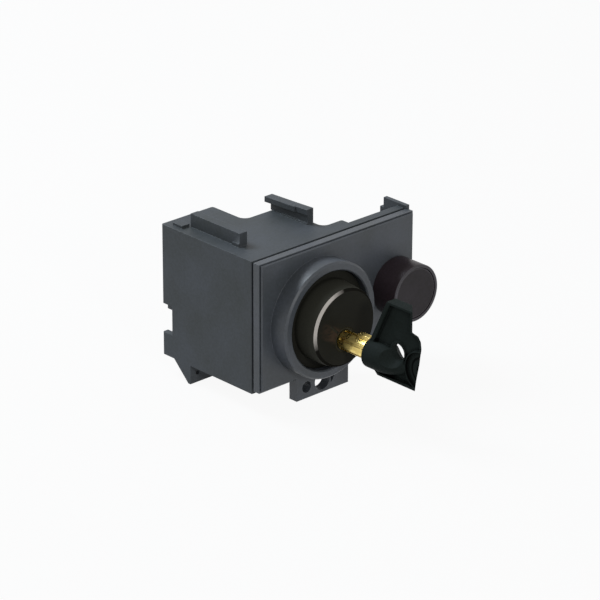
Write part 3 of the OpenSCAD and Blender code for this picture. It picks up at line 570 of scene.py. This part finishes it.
# ------------------------------------------------------------------------- key
# A brass tube with six milled grooves and an index tab. Its bow is black nylon,
# moulded on: a round hub that runs out into a ribbed blade with a thumb dish.

key_brass = brass_finish("key_brass", shade(250, 224, 138), 0.24, 0.3, shade_reach=1.0 * MM)
dress("key_shank", key_brass)

hub_y, near_x = -29.4, 24.55
dish = spot(near_x, hub_y - 25.9, 19.3)


def dish_shade(f):
    """1 in the groove, in the pit and at the wall of the thumb dish, on the bow's near side: where shade is
    painted.
    """
    away = f.vector("SUBTRACT", f.place(), tuple(dish))
    radius = f.vector("LENGTH", f.vector("MULTIPLY", away, (0, 1, 1)), out="Value")
    depth = f.node("ShaderNodeSeparateXYZ", {}, {0: away}, out="X")
    groove = f.ramp(radius, 4.3 * MM, 4.6 * MM) * f.ramp(radius, 5.4 * MM, 5.1 * MM)
    wall = f.ramp(radius, 6.8 * MM, 7.05 * MM) * f.ramp(radius, 7.3 * MM, 7.1 * MM)
    pit = f.ramp(radius, 2.8 * MM, 2.2 * MM)
    return 0.85 * f.ramp(groove + wall + pit, 0, 1) * f.ramp(depth, 2 * MM, 1.9 * MM)


# The bow's inner corners, and the groove, pit and wall of its thumb dish, are darkened as painted shade.
bow_black = moulded("bow_black", shade(29, 34, 32), shade(58, 62, 61), grain=4600, grain_depth=0.006 * MM,
                    roughness=0.5, specular=0.02, shade_reach=1.6 * MM, shade_mask=dish_shade)
bow = copy_of("key_bow", "bow", bow_black)
dish_groove = [(0.9, 4.4), (0.9, 5.3), (1.42, 5.15), (1.42, 4.55), (0.9, 4.4)]
dish_pit = [(0.9, 0), (0.9, 2.6), (1.5, 2.2), (1.5, 0)]
carve(bow, turned(dish_groove, dish, axis="X", sides=64))
carve(bow, turned(dish_pit, dish, axis="X", sides=48))
skin = bow.modifiers.new("skin", "REMESH")
skin.mode = "VOXEL"
skin.voxel_size = 0.16 * MM
smooth = bow.modifiers.new("smooth", "SMOOTH")
smooth.factor = 0.5
smooth.iterations = 1
thin = bow.modifiers.new("thin", "DECIMATE")
thin.ratio = 0.35
keep(bow, sharp=60)
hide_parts("key_bow")
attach(bow, "key")


# --------------------------------------------------------- floor and the world
# A plain pale floor that keeps the shadow, and an even surround. Both are white to the
# camera, to mirrors and through glass, and softer as the light on the part.

def white_share(shading):
    """1 for what is seen, straight, mirrored or through glass, and 0 for light on its way to a surface."""
    straight, mirrored, through = [shading.node("ShaderNodeLightPath", out=f"Is {kind} Ray")
                                   for kind in ("Camera", "Glossy", "Transmission")]
    return straight.math("MAXIMUM", straight, mirrored.math("MAXIMUM", mirrored, through))


world = bpy.data.worlds.new("surround")
bpy.context.scene.world = world
world.use_nodes = True
sky = Shading(world.node_tree)
sky_level, seen_level = 0.42, 1.0
backdrop = sky.tree.nodes["Background"]
sky.feed(backdrop.inputs["Color"], (1, 1, 1, 1))
sky.feed(backdrop.inputs["Strength"],
         sky.node("ShaderNodeMix", {"data_type": "FLOAT"}, {0: white_share(sky), 2: sky_level, 3: seen_level}))

floor_white = Finish("floor_white", roughness=0.9)
floor_grey, glow_share = (0.5, 0.5, 0.5, 1), 0.93
floor_white.feed(floor_white.shader.inputs["Base Color"], floor_grey)
paint = Wire(floor_white, floor_white.shader.outputs[0])
glow = floor_white.node("ShaderNodeEmission", {}, {"Strength": 1.0})
both = floor_white.node("ShaderNodeMixShader", {}, {0: glow_share * white_share(floor_white), 1: paint, 2: glow})
floor_white.feed(floor_white.tree.nodes["Material Output"].inputs["Surface"], both)

floor_z = cad_box[0][2]
span = 3.0
floor_mesh = bpy.data.meshes.new("floor")
floor_mesh.from_pydata([(x * span, y * span, floor_z) for x, y in ((-1, -1), (1, -1), (1, 1), (-1, 1))], [],
                       [(0, 1, 2, 3)])
floor_mesh.materials.append(floor_white.material)
floor = linked("floor", floor_mesh)


# ----------------------------------------------------------------------- lamps
# A wide cool lamp above and behind the part, and a smaller one, nearly white, at the
# front left. Both are soft and point at the middle of the part.

middle = Vector((0.012, 0.0, 0.025))


def lamp(name, place, size, watts, color):
    light = bpy.data.lights.new(name, "AREA")
    light.shape = "DISK"
    light.size = size
    light.energy = watts
    light.color = color
    held = linked(name, light)
    held.location = place
    held.rotation_euler = (middle - Vector(place)).to_track_quat("-Z", "Y").to_euler()


lamp("lamp_over", (-0.2, 0.6, 0.72), 0.45, 8.2, (0.82, 0.91, 1.0))
lamp("lamp_key", (-0.36, -0.92, 0.47), 0.16, 3.4, (1.0, 0.99, 0.96))


# ---------------------------------------------------------------------- camera
# A long lens at the photograph's angle, level but for a fraction of a degree. It looks
# past the part a little, which puts the part where the photograph has it.

turn, tilt, roll = math.radians(-43.1395), math.radians(23.3889), math.radians(0.1711)
distance, aside, above = 1.27507, 0.0140753, 0.0005128
aim = Vector((0.0158, 0, 0.0294))

ahead = Vector((-math.sin(turn) * math.cos(tilt), math.cos(turn) * math.cos(tilt), -math.sin(tilt)))
right = Vector((math.cos(turn), math.sin(turn), 0))
up = right.cross(ahead)
across = right * math.cos(roll) + up * math.sin(roll)
upward = up * math.cos(roll) - right * math.sin(roll)
place = aim - ahead * distance - across * aside + upward * above

camera = linked("camera", bpy.data.cameras.new("camera"))
camera.data.lens = 210
camera.data.sensor_width = 36
camera.data.clip_start = 0.05
camera.matrix_world = Matrix((
    (across.x, upward.x, -ahead.x, place.x),
    (across.y, upward.y, -ahead.y, place.y),
    (across.z, upward.z, -ahead.z, place.z),
    (0, 0, 0, 1)))
bpy.context.scene.camera = camera
bpy.context.scene.view_settings.view_transform = "Standard"
